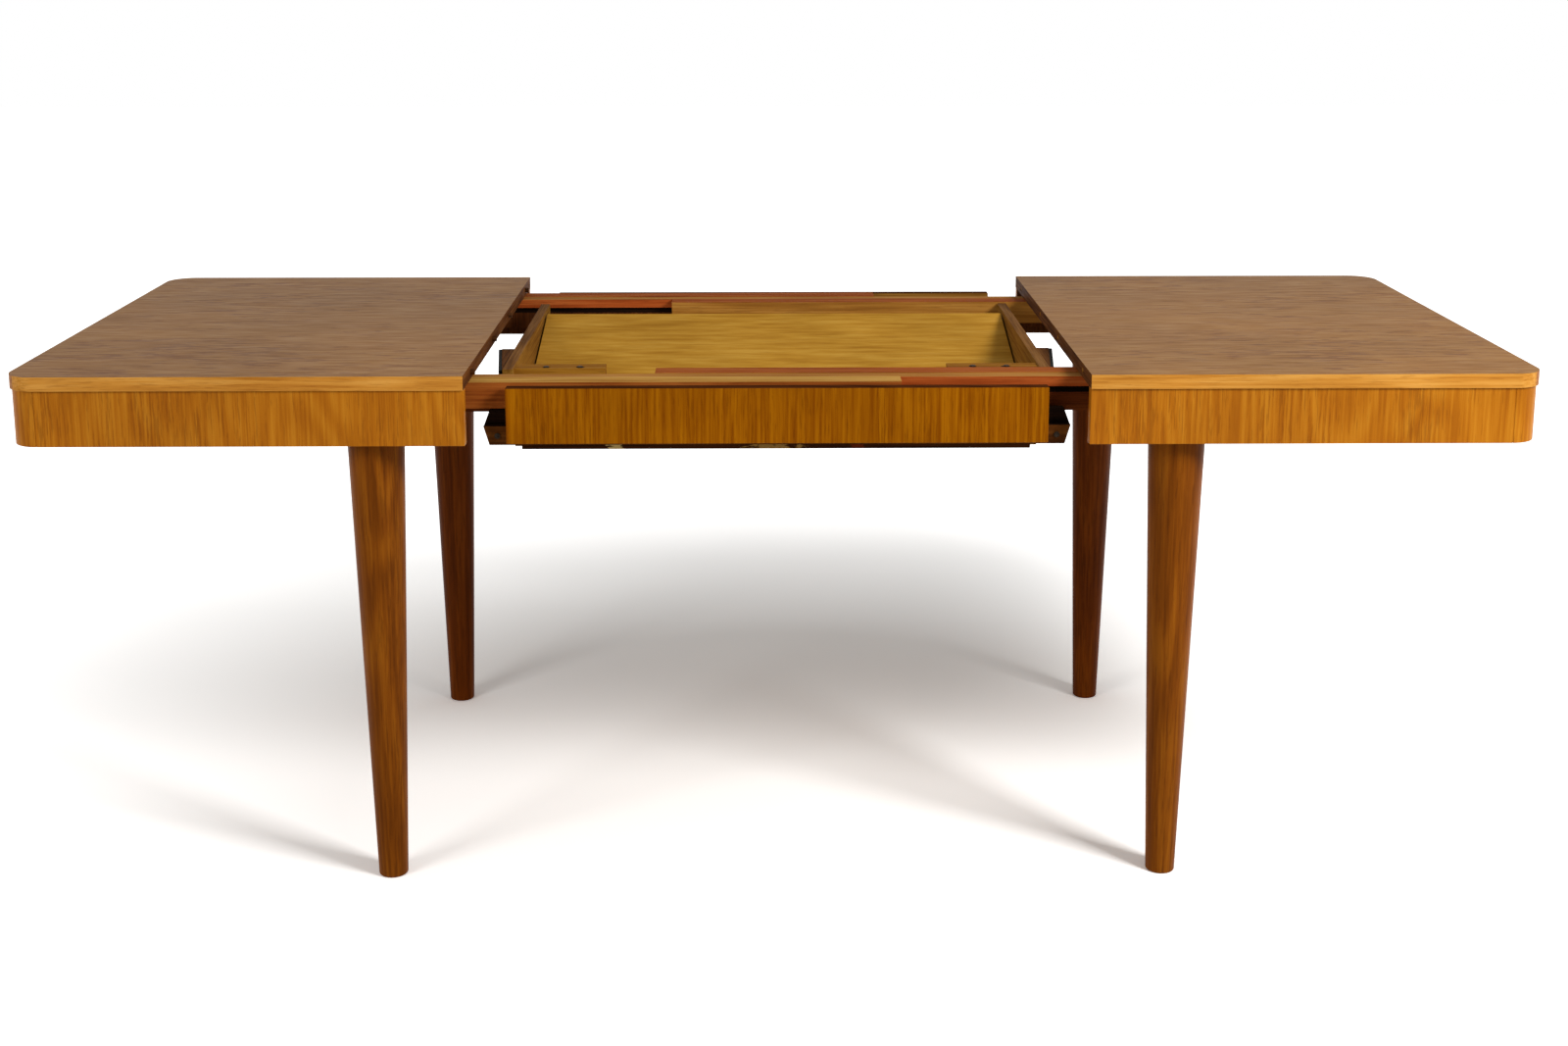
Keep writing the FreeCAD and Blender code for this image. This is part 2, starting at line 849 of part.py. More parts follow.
def runner_bores(end, face):
    tools = []
    for index, share in enumerate(runner_screw_shares):
        label = "runner_bore_%s_%s_%d" % (end, face, index)
        x = runner_screw_x(end, share)
        y = runner_middle(end, face)
        tools.append(rod(label + "_sink", "z", head_radius + size.bore_gap, size.screw_sink,
                         x, y, runner_foot))
        tools.append(rod(label + "_shank", "z", drill_radius, size.runner_height, x, y, runner_foot))
    tools.append(stop_pin(end, face, "runner_stop_bore", stop_radius + size.bore_gap / 2))
    return fuse("runner_bores_%s_%s" % (end, face), tools)


def stop_pin(end, face, name, radius):
    # A dowel that stands down from the runner's free end, beside the fixed rail
    spans = {"left": outer_in + size.stop_dia, "right": inner_out - size.stop_dia}
    return rod("%s_%s_%s" % (name, end, face), "z", radius, size.stop_in + size.stop_out,
               -outer_stop_x * ends[end], spans[end] * faces[face], runner_foot - size.stop_out)


def runner(end, face):
    label = "%s_runner_%s" % (end, face)
    wide = size.runner_width
    high = size.runner_height
    tip = size.tongue_depth
    tongue_top = high - size.tongue_drop
    tongue_foot = tongue_top - size.tongue_height
    if runner_tongue_low(end, face):
        points = [(tip, 0), (tip + wide, 0), (tip + wide, high), (tip, high),
                  (tip, tongue_top), (0, tongue_top), (0, tongue_foot), (tip, tongue_foot)]
        start = runner_span(end, face)[0] - tip
    else:
        points = [(0, 0), (wide, 0), (wide, tongue_foot), (wide + tip, tongue_foot),
                  (wide + tip, tongue_top), (wide, tongue_top), (wide, high), (0, high)]
        start = runner_span(end, face)[0]
    length = runner_start + runner_reach
    body = bar(label + "_blank", "YZ_Plane", points, length)
    free = length.value if end == "left" else 0
    soften(body, "PartDesign::Chamfer",
           lambda edge: abs(edge.BoundBox.XMin - free) < 0.01 and edge.BoundBox.XLength < 0.01
           and abs(edge.BoundBox.ZMax) < 0.01,
           Size=size.runner_bevel / 2)
    move(body, -runner_start if end == "left" else -runner_reach, start, runner_foot)
    keep(cut(label, body, [runner_bores(end, face)]))


for end in ends:
    for face in faces:
        runner(end, face)
    places = range(len(runner_screw_shares))
    screws = [runner_screw(end, face, index) for face in faces for index in places]
    keep(group(end + "_runner_screws", screws))
    keep(group(end + "_stop_pins", [stop_pin(end, face, "runner_stop", stop_radius) for face in faces]))


# Half tops, with rounded outer corners
pin_level = under_top + size.top_thick / 2
pin_places = (-size.pin_far, -size.pin_near, size.pin_near, size.pin_far)


def top_bores(end):
    tools = []
    for face in faces:
        for index, share in enumerate(runner_screw_shares):
            tools.append(rod("%s_top_bore_%s_%d" % (end, face, index), "z", drill_radius, screw_bite,
                             runner_screw_x(end, share), runner_middle(end, face), under_top))
    for index, place in enumerate(pin_places):
        name = "%s_top_pin_bore_%d" % (end, index)
        if end == "left":
            tools.append(rod(name, "x", size.pin_dia / 2 + size.bore_gap / 2, size.pin_in,
                             -size.open_shift - size.pin_in, place, pin_level))
        else:
            tools.append(rod(name, "x", socket_radius, socket_deep, size.open_shift, place, pin_level))
    return fuse(end + "_top_bores", tools)


def half_top(end):
    label = end + "_top"
    points = [(0, 0), (size.half_length, 0), (size.half_length, size.table_depth), (0, size.table_depth)]
    body = bar(label + "_blank", "XY_Plane", points, size.top_thick)
    outer = 0 if end == "left" else size.half_length.value
    soften(body, "PartDesign::Fillet",
           lambda edge: upright(edge) and abs(edge.BoundBox.XMin - outer) < 0.01,
           Radius=size.top_corner)
    move(body, spread(ends[end], size.open_shift, half_end)[0], -half_depth, under_top)
    keep(cut(label, body, [top_bores(end)]))


# Half aprons: three straight boards and two rounded corners
corner_turns = {
    ("left", "front"): 180,
    ("left", "back"): 90,
    ("right", "front"): -90,
    ("right", "back"): 0,
}


def half_aprons(end):
    bend_x = half_end - size.top_corner
    bend_y = half_depth - size.top_corner
    high = (apron_foot, under_top)
    outer = half_end - size.apron_inset
    for face in faces:
        keep(box("%s_apron_%s" % (end, face), spread(ends[end], size.open_shift, bend_x),
                 spread(faces[face], apron_back, apron_face), high))
        label = "%s_corner_%s" % (end, face)
        turn = FreeCAD.Rotation(vector(0, 0, 1), corner_turns[(end, face)])
        parts = []
        for name, radius in (("_round", size.top_corner - size.apron_inset),
                             ("_hollow", size.top_corner - size.apron_inset - size.apron_thick)):
            item = add("Part::Cylinder", label + name)
            item.Angle = 90
            item.Placement = FreeCAD.Placement(vector(), turn)
            drive(item, Radius=radius, Height=size.apron_height)
            move(item, bend_x * ends[end], bend_y * faces[face], apron_foot)
            parts.append(item)
        keep(cut(label, parts[0], [parts[1]]))
    keep(box(end + "_apron_end", spread(ends[end], outer - size.apron_thick, outer),
             (-bend_y, bend_y), high))


for end in ends:
    half_top(end)
    half_aprons(end)


# Locating pins on the left half's inner edge
pins = []
for index, place in enumerate(pin_places):
    pins.append(rod("locating_pin_%d" % index, "x", size.pin_dia / 2, size.pin_in + size.pin_out,
                    -size.open_shift - size.pin_in, place, pin_level))
keep(group("locating_pins", pins))


# Every object is checked before anything is written
doc.recompute()
for item in doc.Objects:
    if "Invalid" in item.State or "Error" in item.State:
        raise RuntimeError("failed object " + item.Label)
for item in nodes:
    if item.Shape.isNull() or not item.Shape.isValid():
        raise RuntimeError("bad shape " + item.Label)
for item in nodes:
    item.Shape.exportStep("parts/%s.step" % item.Label)
print(len(nodes), "sub-parts written")
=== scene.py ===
import json
from math import pi, radians
import bpy
import bmesh
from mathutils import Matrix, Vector

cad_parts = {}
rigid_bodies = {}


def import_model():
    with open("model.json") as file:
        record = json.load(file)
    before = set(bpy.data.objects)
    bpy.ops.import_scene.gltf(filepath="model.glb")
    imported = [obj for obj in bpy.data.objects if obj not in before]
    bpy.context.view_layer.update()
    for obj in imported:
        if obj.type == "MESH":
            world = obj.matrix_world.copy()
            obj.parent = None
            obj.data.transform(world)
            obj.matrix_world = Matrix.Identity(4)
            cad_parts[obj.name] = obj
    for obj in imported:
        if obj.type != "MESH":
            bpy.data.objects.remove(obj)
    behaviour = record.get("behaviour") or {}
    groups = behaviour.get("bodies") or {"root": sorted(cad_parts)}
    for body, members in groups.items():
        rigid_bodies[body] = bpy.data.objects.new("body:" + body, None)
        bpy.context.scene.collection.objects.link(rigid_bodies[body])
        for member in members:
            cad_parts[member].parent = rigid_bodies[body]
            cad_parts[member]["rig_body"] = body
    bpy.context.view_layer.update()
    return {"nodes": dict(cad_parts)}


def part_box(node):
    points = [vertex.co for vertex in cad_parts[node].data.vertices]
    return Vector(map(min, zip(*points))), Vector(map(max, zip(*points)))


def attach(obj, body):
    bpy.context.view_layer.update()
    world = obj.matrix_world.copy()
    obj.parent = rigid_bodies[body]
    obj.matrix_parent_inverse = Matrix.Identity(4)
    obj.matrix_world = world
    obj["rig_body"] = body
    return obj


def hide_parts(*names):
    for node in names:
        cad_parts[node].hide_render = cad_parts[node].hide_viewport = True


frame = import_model()
print("frame loaded,", len(frame["nodes"]), "nodes")

bodyOf = {node: obj["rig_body"] for node, obj in frame["nodes"].items()}


def tone(red, green, blue):
    # screen colour, 0 to 255, as the linear colour that the shader takes
    out = []
    for value in (red, green, blue):
        value = value / 255
        out.append(value / 12.92 if value <= 0.04045 else ((value + 0.055) / 1.055) ** 2.4)
    return (*out, 1.0)


def tones(dark, mid, light, pore):
    # the four colours that a wood is made of
    return {"dark": tone(*dark), "mid": tone(*mid), "light": tone(*light), "pore": tone(*pore)}


# Nodes that the finishes and the stage are put together from
noiseLook = {"roughness": 0.58, "low": 0.3, "high": 0.7}  # low to high is where most of the noise lies


def startFinish(name):
    finish = bpy.data.materials.new(name)
    finish.use_nodes = True
    tree = finish.node_tree
    coord = tree.nodes.new("ShaderNodeTexCoord")
    return finish, tree, tree.nodes["Principled BSDF"], coord.outputs["Object"]


def stretched(tree, coord, scale, shift=(0, 0, 0)):
    mapping = tree.nodes.new("ShaderNodeMapping")
    mapping.inputs["Scale"].default_value = scale
    mapping.inputs["Location"].default_value = shift
    tree.links.new(coord, mapping.inputs["Vector"])
    return mapping.outputs["Vector"]


def cloud(tree, vector, detail, scale=1.0, wander=0.0):
    noise = tree.nodes.new("ShaderNodeTexNoise")
    noise.inputs["Scale"].default_value = scale
    noise.inputs["Detail"].default_value = detail
    noise.inputs["Roughness"].default_value = noiseLook["roughness"]
    noise.inputs["Distortion"].default_value = wander
    tree.links.new(vector, noise.inputs["Vector"])
    return noise.outputs["Fac"]


def ranged(tree, value, low, high, newLow, newHigh):
    node = tree.nodes.new("ShaderNodeMapRange")
    node.inputs["From Min"].default_value = low
    node.inputs["From Max"].default_value = high
    node.inputs["To Min"].default_value = newLow
    node.inputs["To Max"].default_value = newHigh
    tree.links.new(value, node.inputs["Value"])
    return node.outputs["Result"]


def spread(tree, noise, newLow, newHigh):
    return ranged(tree, noise, noiseLook["low"], noiseLook["high"], newLow, newHigh)


def reckon(tree, operation, first, second=0.0):
    node = tree.nodes.new("ShaderNodeMath")
    node.operation = operation
    for socket, value in zip(node.inputs, (first, second)):
        if isinstance(value, (int, float)):
            socket.default_value = value
        else:
            tree.links.new(value, socket)
    return node.outputs["Value"]


def distance(tree, vector):
    node = tree.nodes.new("ShaderNodeVectorMath")
    node.operation = "LENGTH"
    tree.links.new(vector, node.inputs[0])
    return node.outputs["Value"]


def blended(tree, share, first, second, kind="MIX"):
    node = tree.nodes.new("ShaderNodeMix")
    node.data_type = "RGBA"
    node.blend_type = kind
    for name, value in (("Factor_Float", share), ("A_Color", first), ("B_Color", second)):
        socket = next(s for s in node.inputs if s.identifier == name)
        if isinstance(value, (int, float, tuple)):
            socket.default_value = value
        else:
            tree.links.new(value, socket)
    return next(s for s in node.outputs if s.identifier == "Result_Color")


def ramped(tree, value, places, colours):
    node = tree.nodes.new("ShaderNodeValToRGB")
    ramp = node.color_ramp
    while len(ramp.elements) < len(places):
        ramp.elements.new(0.5)
    for element, place, colour in zip(ramp.elements, places, colours):
        element.position = place
        element.color = colour
    tree.links.new(value, node.inputs["Fac"])
    return node.outputs["Color"]


def bumped(tree, height, shader, look):
    node = tree.nodes.new("ShaderNodeBump")
    node.inputs["Strength"].default_value = look["bump"]
    node.inputs["Distance"].default_value = look["bumpDepth"]
    tree.links.new(height, node.inputs["Height"])
    tree.links.new(node.outputs["Normal"], shader.inputs["Normal"])


# A patch of another colour round a place, with a ragged outline; an axis of 0 makes it run right across. It
# makes the marks on the leaf's front edge and the painted shade round the support screws
patchLook = {"scale": (70, 70, 220), "detail": 4.0, "core": 0.75}  # core is the share that is fully in the patch colour


def tonePatch(tree, coord, patch):
    half = patch["half"]
    ragged = cloud(tree, stretched(tree, coord, patchLook["scale"]), patchLook["detail"])
    shift = [-place * axis for place, axis in zip(patch["place"], patch["axes"])]
    away = distance(tree, stretched(tree, coord, patch["axes"], shift))
    edge = spread(tree, ragged, -half * patch["ragged"], half * patch["ragged"])
    return ranged(tree, reckon(tree, "ADD", away, edge), half * patchLook["core"], half, 1.0, 0.0)


# Wood: growth rings cut along the grain, fine grain lines, short dark pores and a broad change of tone
def wood(name, look):
    finish, tree, shader, coord = startFinish(name)

    def along(part):
        # noise that is drawn out along the grain
        scale = [look[part + "Wide"]] * 3
        scale["XYZ".index(look["grain"])] = look[part + "Long"]
        vector = stretched(tree, coord, scale, look["shift"])
        return cloud(tree, vector, look[part + "Detail"], wander=look[part + "Wander"])

    rings = reckon(tree, "SINE", reckon(tree, "MULTIPLY", along("figure"), look["rings"]))
    rings = ranged(tree, rings, -1.0, 1.0, 0.0, look["ringShare"])
    grain = along("grain")
    mixture = reckon(tree, "ADD", rings, spread(tree, grain, 0.0, 1.0 - look["ringShare"]))
    colour = ramped(tree, mixture, look["stops"], (look["dark"], look["mid"], look["light"]))
    bands = spread(tree, along("band"), -look["bandShare"], look["bandShare"])
    pores = reckon(tree, "ADD", along("pore"), bands)
    poreFull = look["poreFrom"] + look["poreFade"]
    pores = ranged(tree, pores, look["poreFrom"], poreFull, 0.0, look["poreShare"])
    colour = blended(tree, pores, colour, look["pore"])
    for patch in look["patches"]:
        colour = blended(tree, tonePatch(tree, coord, patch), colour, patch["bare"])
    broad = cloud(tree, coord, look["broadDetail"], scale=look["broadScale"])
    broad = spread(tree, broad, 1.0 - look["broad"], 1.0)
    colour = blended(tree, 1.0, colour, broad, "MULTIPLY")
    tree.links.new(colour, shader.inputs["Base Color"])
    rough = spread(tree, grain, look["rough"] + look["roughOver"], look["rough"] - look["roughUnder"])
    tree.links.new(rough, shader.inputs["Roughness"])
    shader.inputs["Specular IOR Level"].default_value = look["gloss"]
    bumped(tree, reckon(tree, "SUBTRACT", grain, pores), shader, look)
    return finish


veneer = {
    "grain": "Z", "shift": (0, 0, 0), "stops": (0.12, 0.48, 0.88), "patches": (),
    "figureLong": 1.3, "figureWide": 5.0, "figureDetail": 2.0, "figureWander": 0.25,
    "rings": 90.0, "ringShare": 0.3,
    "grainLong": 6.0, "grainWide": 260.0, "grainDetail": 4.0, "grainWander": 0.0,
    "poreLong": 26.0, "poreWide": 480.0, "poreDetail": 3.0, "poreWander": 0.0,
    "poreFrom": 0.54, "poreFade": 0.1, "poreShare": 0.4,
    "bandLong": 1.5, "bandWide": 16.0, "bandDetail": 3.0, "bandWander": 0.4, "bandShare": 0.06,
    "broadScale": 3.4, "broadDetail": 2.0, "broad": 0.2,
    "rough": 0.42, "roughOver": 0.06, "roughUnder": 0.05, "gloss": 0.07, "bump": 0.12, "bumpDepth": 0.0006,
    **tones((164, 92, 10), (182, 108, 16), (198, 126, 28), (114, 56, 6)),
}
legLook = {
    **veneer, "figureLong": 0.7, "figureWide": 7.0, "rings": 70.0, "ringShare": 0.35, "grainLong": 4.0,
    "grainWide": 210.0, "poreLong": 16.0, "poreWide": 330.0, "gloss": 0.04,
    **tones((108, 54, 5), (130, 68, 8), (152, 86, 14), (76, 34, 3)),
}
veneerLooks = {
    "apronVeneer": {**veneer, "bandWide": 9.0, "bandShare": 0.11},
    "centreVeneer": {**veneer, "ringShare": 0.14, "shift": (3.1, 0.4, 0.0), "gloss": 0.02,
                     **tones((134, 70, 1), (152, 86, 2), (170, 102, 5), (92, 40, 1))},
    # painted shade: the aprons' inner faces, raw wood made dark as if in shade
    "apronInner": {**veneer, "rough": 0.66, "gloss": 0.02,
                   **tones((60, 28, 10), (80, 40, 15), (100, 56, 24), (40, 18, 6))},
    "centreEdge": {**veneer, "grain": "X", "rough": 0.6, "gloss": 0.0,
                   **tones((54, 26, 12), (78, 40, 18), (104, 56, 26), (36, 16, 6))},
    "topVeneer": {**veneer, "grain": "X", "figureLong": 1.0, "rings": 60.0, "ringShare": 0.22,
                  "grainLong": 16.0, "grainWide": 120.0, "rough": 0.46, "gloss": 0.06,
                  "poreWide": 115.0, "poreFrom": 0.56, "poreShare": 0.65,
                  "bandLong": 3.4, "bandWide": 10.0, "bandShare": 0.12,
                  **tones((138, 90, 32), (151, 102, 40), (162, 114, 50), (112, 62, 8))},
    # painted shade: the tops' inner end faces, towards the gap, made darker than the outer ends
    "innerEdge": {**veneer, "grain": "Y", "rough": 0.6, "gloss": 0.02,
                  **tones((70, 36, 14), (96, 54, 22), (122, 74, 34), (46, 22, 8))},
    "edgeAlong": {**veneer, "grain": "X", "ringShare": 0.2,
                  **tones((186, 118, 38), (210, 142, 54), (226, 162, 74), (152, 90, 26))},
    "edgeAcross": {**veneer, "grain": "Y", "ringShare": 0.2,
                   **tones((140, 78, 22), (166, 100, 32), (188, 122, 46), (104, 54, 14))},
    "rawUnder": {**veneer, "grain": "X", "rough": 0.62,
                 **tones((128, 80, 34), (152, 100, 46), (172, 120, 60), (96, 56, 22))},
    "legWood": legLook,
    # painted shade: the back legs take a darker copy of the leg wood than the front legs
    "legWoodBack": {**legLook, "shift": (0.6, 1.7, 0.3),
                    **tones((91, 39, 3), (111, 50, 5), (132, 65, 9), (63, 25, 2))},
}
finishes = {}
for name, look in veneerLooks.items():
    finishes[name] = wood(name, look)
print("veneer finishes made")

# Marks on the leaf's front edge: place along it, half length and colour
edgeMarks = (
    (-0.239, 0.011, tone(214, 184, 116)),
    (-0.008, 0.036, tone(168, 128, 66)),
    (0.12, 0.014, tone(104, 38, 12)),
)
edgeMarkPatches = [{"place": (x, 0, 0), "axes": (1, 0, 0), "half": half, "ragged": 0.8, "bare": bare}
            for x, half, bare in edgeMarks]

# Painted shade round each screw of the support blocks, standing for a dark recess, at these shares of the
# block from its outer end
recessShade = {"shares": (0.35, 0.72), "axes": (1, 1, 0), "half": 0.0072, "ragged": 0.35, "bare": tone(30, 17, 8)}
boardLow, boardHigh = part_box("tray_front_board")
recessShades = []
for end, outer in (("left", 0), ("right", 1)):
    ends = [corner.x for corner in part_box("support_block_" + end)]
    for share in recessShade["shares"]:
        x = ends[outer] + (ends[1 - outer] - ends[outer]) * share
        recessShades.append({**recessShade, "place": (x, (boardLow.y + boardHigh.y) / 2, 0)})

rawWood = {
    **veneer, "grain": "X", "figureLong": 0.8, "figureWide": 9.0, "rings": 60.0, "rough": 0.72, "gloss": 0.03,
    "poreShare": 0.3,
}
rawLooks = {
    "railTop": {**rawWood, **tones((156, 98, 42), (182, 122, 56), (204, 146, 76), (116, 66, 28))},
    "railSide": {**rawWood, **tones((146, 60, 20), (178, 82, 32), (200, 106, 48), (106, 40, 12))},
    # painted shade: a darker copy of the rail side for the lower part of the front fixed rail
    "railLow": {**rawWood, **tones((90, 38, 12), (116, 54, 18), (140, 74, 28), (62, 24, 6))},
    "outerRunner": {**rawWood, **tones((172, 116, 46), (200, 146, 66), (220, 170, 88), (132, 80, 30))},
    "outerRunnerSide": {**rawWood, **tones((132, 62, 20), (162, 84, 30), (184, 106, 44), (94, 40, 12))},
    "innerRunner": {**rawWood, **tones((140, 88, 30), (166, 110, 42), (188, 132, 58), (104, 62, 20))},
    "innerRunnerTop": {**rawWood, **tones((138, 62, 22), (168, 86, 34), (190, 108, 48), (98, 42, 14))},
    "crossBoard": {**rawWood, "grain": "Y",
                   **tones((118, 76, 24), (144, 98, 34), (166, 118, 46), (88, 52, 16))},
    "crossEdge": {**rawWood, "grain": "Y",
                  **tones((94, 58, 26), (122, 80, 38), (148, 102, 52), (66, 38, 16))},
    "frameBrown": {**rawWood, **tones((96, 52, 10), (126, 74, 16), (150, 96, 26), (64, 32, 6))},
    "bearerWood": {**rawWood, **tones((62, 30, 8), (90, 48, 14), (114, 66, 22), (40, 18, 4))},
    # near-black painted shade, for the rails' groove faces and the top and upper step of the bearers
    "frameDark": {**rawWood, **tones((20, 10, 6), (32, 18, 10), (48, 28, 16), (12, 6, 4))},
    "leafRaw": {**rawWood, "figureLong": 0.6, "figureWide": 3.0, "rings": 30.0, "ringShare": 0.12,
                "grainLong": 9.0, "grainWide": 70.0, "poreLong": 14.0, "poreWide": 160.0, "poreShare": 0.2,
                "broadScale": 5.0, "broad": 0.16,
                **tones((180, 126, 40), (198, 144, 50), (212, 160, 64), (152, 102, 30))},
    "leafEdge": {**rawWood, **tones((124, 80, 26), (150, 102, 38), (170, 122, 52), (94, 56, 18))},
    # painted shade: the leaf's front edges made much darker than its other edges
    "leafFront": {**rawWood, "patches": edgeMarkPatches,
                  **tones((44, 20, 6), (66, 32, 10), (86, 46, 18), (28, 12, 4))},
    # the support blocks' wood carries painted shade round each screw
    "supportWood": {**rawWood, "patches": recessShades,
                    **tones((124, 76, 18), (152, 98, 26), (174, 120, 38), (88, 48, 10))},
    "sideWood": {**rawWood, "grain": "Y",
                 **tones((74, 40, 12), (98, 56, 18), (120, 74, 28), (48, 24, 6))},
    "pinWood": {**rawWood, **tones((52, 28, 12), (76, 44, 22), (98, 60, 32), (34, 18, 8))},
}
for name, look in rawLooks.items():
    finishes[name] = wood(name, look)
print("raw wood finishes made")


# Small metal and rubber pieces: spotted, with a dull skin
def spotted(name, look):
    finish, tree, shader, coord = startFinish(name)
    spots = cloud(tree, coord, look["detail"], scale=look["spots"])
    colour = ramped(tree, spots, look["stops"], (look["dark"], look["light"]))
    tree.links.new(colour, shader.inputs["Base Color"])
    rough = spread(tree, spots, look["rough"] - look["roughUnder"], look["rough"] + look["roughOver"])
    tree.links.new(rough, shader.inputs["Roughness"])
    shader.inputs["Metallic"].default_value = look["metal"]
    shader.inputs["Specular IOR Level"].default_value = look["gloss"]
    bumped(tree, spots, shader, look)
    return finish


dullSkin = {
    "detail": 4.0, "stops": (0.3, 0.6), "roughUnder": 0.08, "roughOver": 0.12, "metal": 0.0, "gloss": 0.04,
    "bump": 0.1, "bumpDepth": 0.0004,
}
spottedLooks = {
    "darkSteel": {**dullSkin, "spots": 260.0, "dark": tone(26, 20, 16), "light": tone(62, 52, 42),
                  "rough": 0.55},
    "hingeBrass": {**dullSkin, "spots": 180.0, "dark": tone(140, 108, 52), "light": tone(190, 158, 88),
                   "rough": 0.38, "metal": 1.0, "gloss": 0.5},
    "blackRubber": {**dullSkin, "spots": 320.0, "dark": tone(16, 15, 14), "light": tone(34, 32, 30),
                    "rough": 0.7},
}
for name, look in spottedLooks.items():
    finishes[name] = spotted(name, look)
print("metal and rubber finishes made")

# Which finish goes on which side of a piece, by the way that a face points
sides = ("up", "down", "left", "right", "front", "back")
sideLook = {
    "level": 0.6,  # a normal with more than this along Z is an upper or lower face
    "endOn": 0.72,  # a normal with more than this along X is an end face
    "skin": 0.0015,  # a face that lies deeper than this in the piece's box is an inside one
}


def sideOf(normal):
    if abs(normal.z) > sideLook["level"]:
        return "up" if normal.z > 0 else "down"
    if abs(normal.x) > sideLook["endOn"]:
        return "right" if normal.x > 0 else "left"
    return "front" if normal.y < 0 else "back"


def finishOf(face, look, low, high):
    middle = face.calc_center_median()
    height = (middle.z - low.z) / (high.z - low.z)
    depth = min(min(middle[i] - low[i], high[i] - middle[i]) for i in range(3))
    if "inside" in look and depth > sideLook["skin"]:
        return look["inside"]
    if "lower" in look and height < look["lowerTo"]:
        return look["lower"]
    if "upper" in look and height > look["upperFrom"]:
        return look["upper"]
    return look.get(sideOf(face.normal), look["all"])


# A copy of the solid with its sharp edges eased and a finish for each side
easeLook = {"weld": 0.00002, "flat": radians(0.4), "sharp": radians(32), "steps": 2}


def softened(node, look):
    low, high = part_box(node)
    bm = bmesh.new()
    bm.from_mesh(frame["nodes"][node].data)
    bmesh.ops.remove_doubles(bm, verts=bm.verts, dist=easeLook["weld"])
    bmesh.ops.dissolve_limit(bm, angle_limit=easeLook["flat"], verts=bm.verts, edges=bm.edges)
    used = sorted({look.get(side, look["all"]) for side in (*sides, "upper", "lower", "inside")})
    for face in bm.faces:
        face.material_index = used.index(finishOf(face, look, low, high))
        face.smooth = True
    mesh = bpy.data.meshes.new(node + "_piece")
    bm.to_mesh(mesh)
    bm.free()
    for name in used:
        mesh.materials.append(finishes[name])
    mesh.set_sharp_from_angle(angle=easeLook["sharp"])
    piece = bpy.data.objects.new(node + "_piece", mesh)
    bpy.context.scene.collection.objects.link(piece)
    ease = piece.modifiers.new("ease", "BEVEL")
    ease.width = look["ease"]
    ease.segments = look.get("steps", easeLook["steps"])
    ease.limit_method = "ANGLE"
    ease.angle_limit = easeLook["sharp"]
    flat = piece.modifiers.new("flat", "WEIGHTED_NORMAL")
    flat.keep_sharp = False
    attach(piece, bodyOf[node])
    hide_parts(node)


topLook = {"ease": 0.0012, "all": "edgeAlong", "up": "topVeneer", "down": "rawUnder"}
apronLook = {"ease": 0.001, "all": "apronVeneer"}
centreLook = {"ease": 0.001, "all": "centreVeneer", "up": "centreEdge"}
for end, inner in (("left", "right"), ("right", "left")):
    # the tops' inner end faces take painted shade
    softened(end + "_top", {**topLook, end: "edgeAcross", inner: "innerEdge"})
    # the aprons' inner faces take painted shade
    for face, inside in (("front", "back"), ("back", "front")):
        softened(end + "_apron_" + face, {**apronLook, inside: "apronInner"})
        softened(end + "_corner_" + face, apronLook)
    softened(end + "_apron_end", {**apronLook, inner: "apronInner"})
softened("centre_apron_front", {**centreLook, "back": "rawUnder"})
softened("centre_apron_back", {**centreLook, "front": "leafEdge"})
print("tops and aprons dressed")

outerLook = {"ease": 0.0012, "all": "outerRunnerSide"}
innerLook = {"ease": 0.0012, "all": "innerRunner", "up": "innerRunnerTop"}
softened("left_runner_front", {**outerLook, "up": "outerRunner", "right": "outerRunner"})
softened("left_runner_back", {**outerLook, "up": "innerRunnerTop"})
softened("right_runner_front", innerLook)
softened("right_runner_back", innerLook)
# painted shade on the fixed rails: near black on the groove faces, darker on the lower part
railLook = {"ease": 0.001, "all": "railSide", "up": "railTop", "inside": "frameDark", "lowerTo": 0.3}
softened("fixed_rail_front", {**railLook, "lower": "railLow"})
softened("fixed_rail_back", {**railLook, "lower": "apronInner"})
# painted shade: the bearers' top and upper step near black
bearerLook = {"ease": 0.0015, "all": "bearerWood", "up": "frameDark", "upper": "frameDark", "upperFrom": 0.57}
for side in ("front", "back"):
    softened("apron_bearer_" + side, bearerLook)
legPieces = {
    "front": {"ease": 0.001, "all": "legWood"},
    # the back legs get the darker copy, as painted shade
    "back": {"ease": 0.001, "all": "legWoodBack"},
}
for side, look in legPieces.items():
    for end in ("left", "right"):
        softened("leg_" + side + "_" + end, look)
blockLooks = {
    "cross_member": {"ease": 0.0015, "all": "crossBoard", "up": "crossEdge"},
    "support_block": {"ease": 0.006, "steps": 4, "all": "supportWood"},
    "side_block": {"ease": 0.001, "all": "sideWood"},
}
for name, look in blockLooks.items():
    for end in ("left", "right"):
        softened(name + "_" + end, look)
# the leaf's front edges take painted shade
leafLook = {"ease": 0.001, "all": "leafEdge", "front": "leafFront"}
softened("leaf_upper", {**leafLook, "up": "leafRaw", "down": "topVeneer"})
softened("leaf_lower", {**leafLook, "up": "topVeneer", "down": "leafRaw"})
print("frame, runners and leaf dressed")

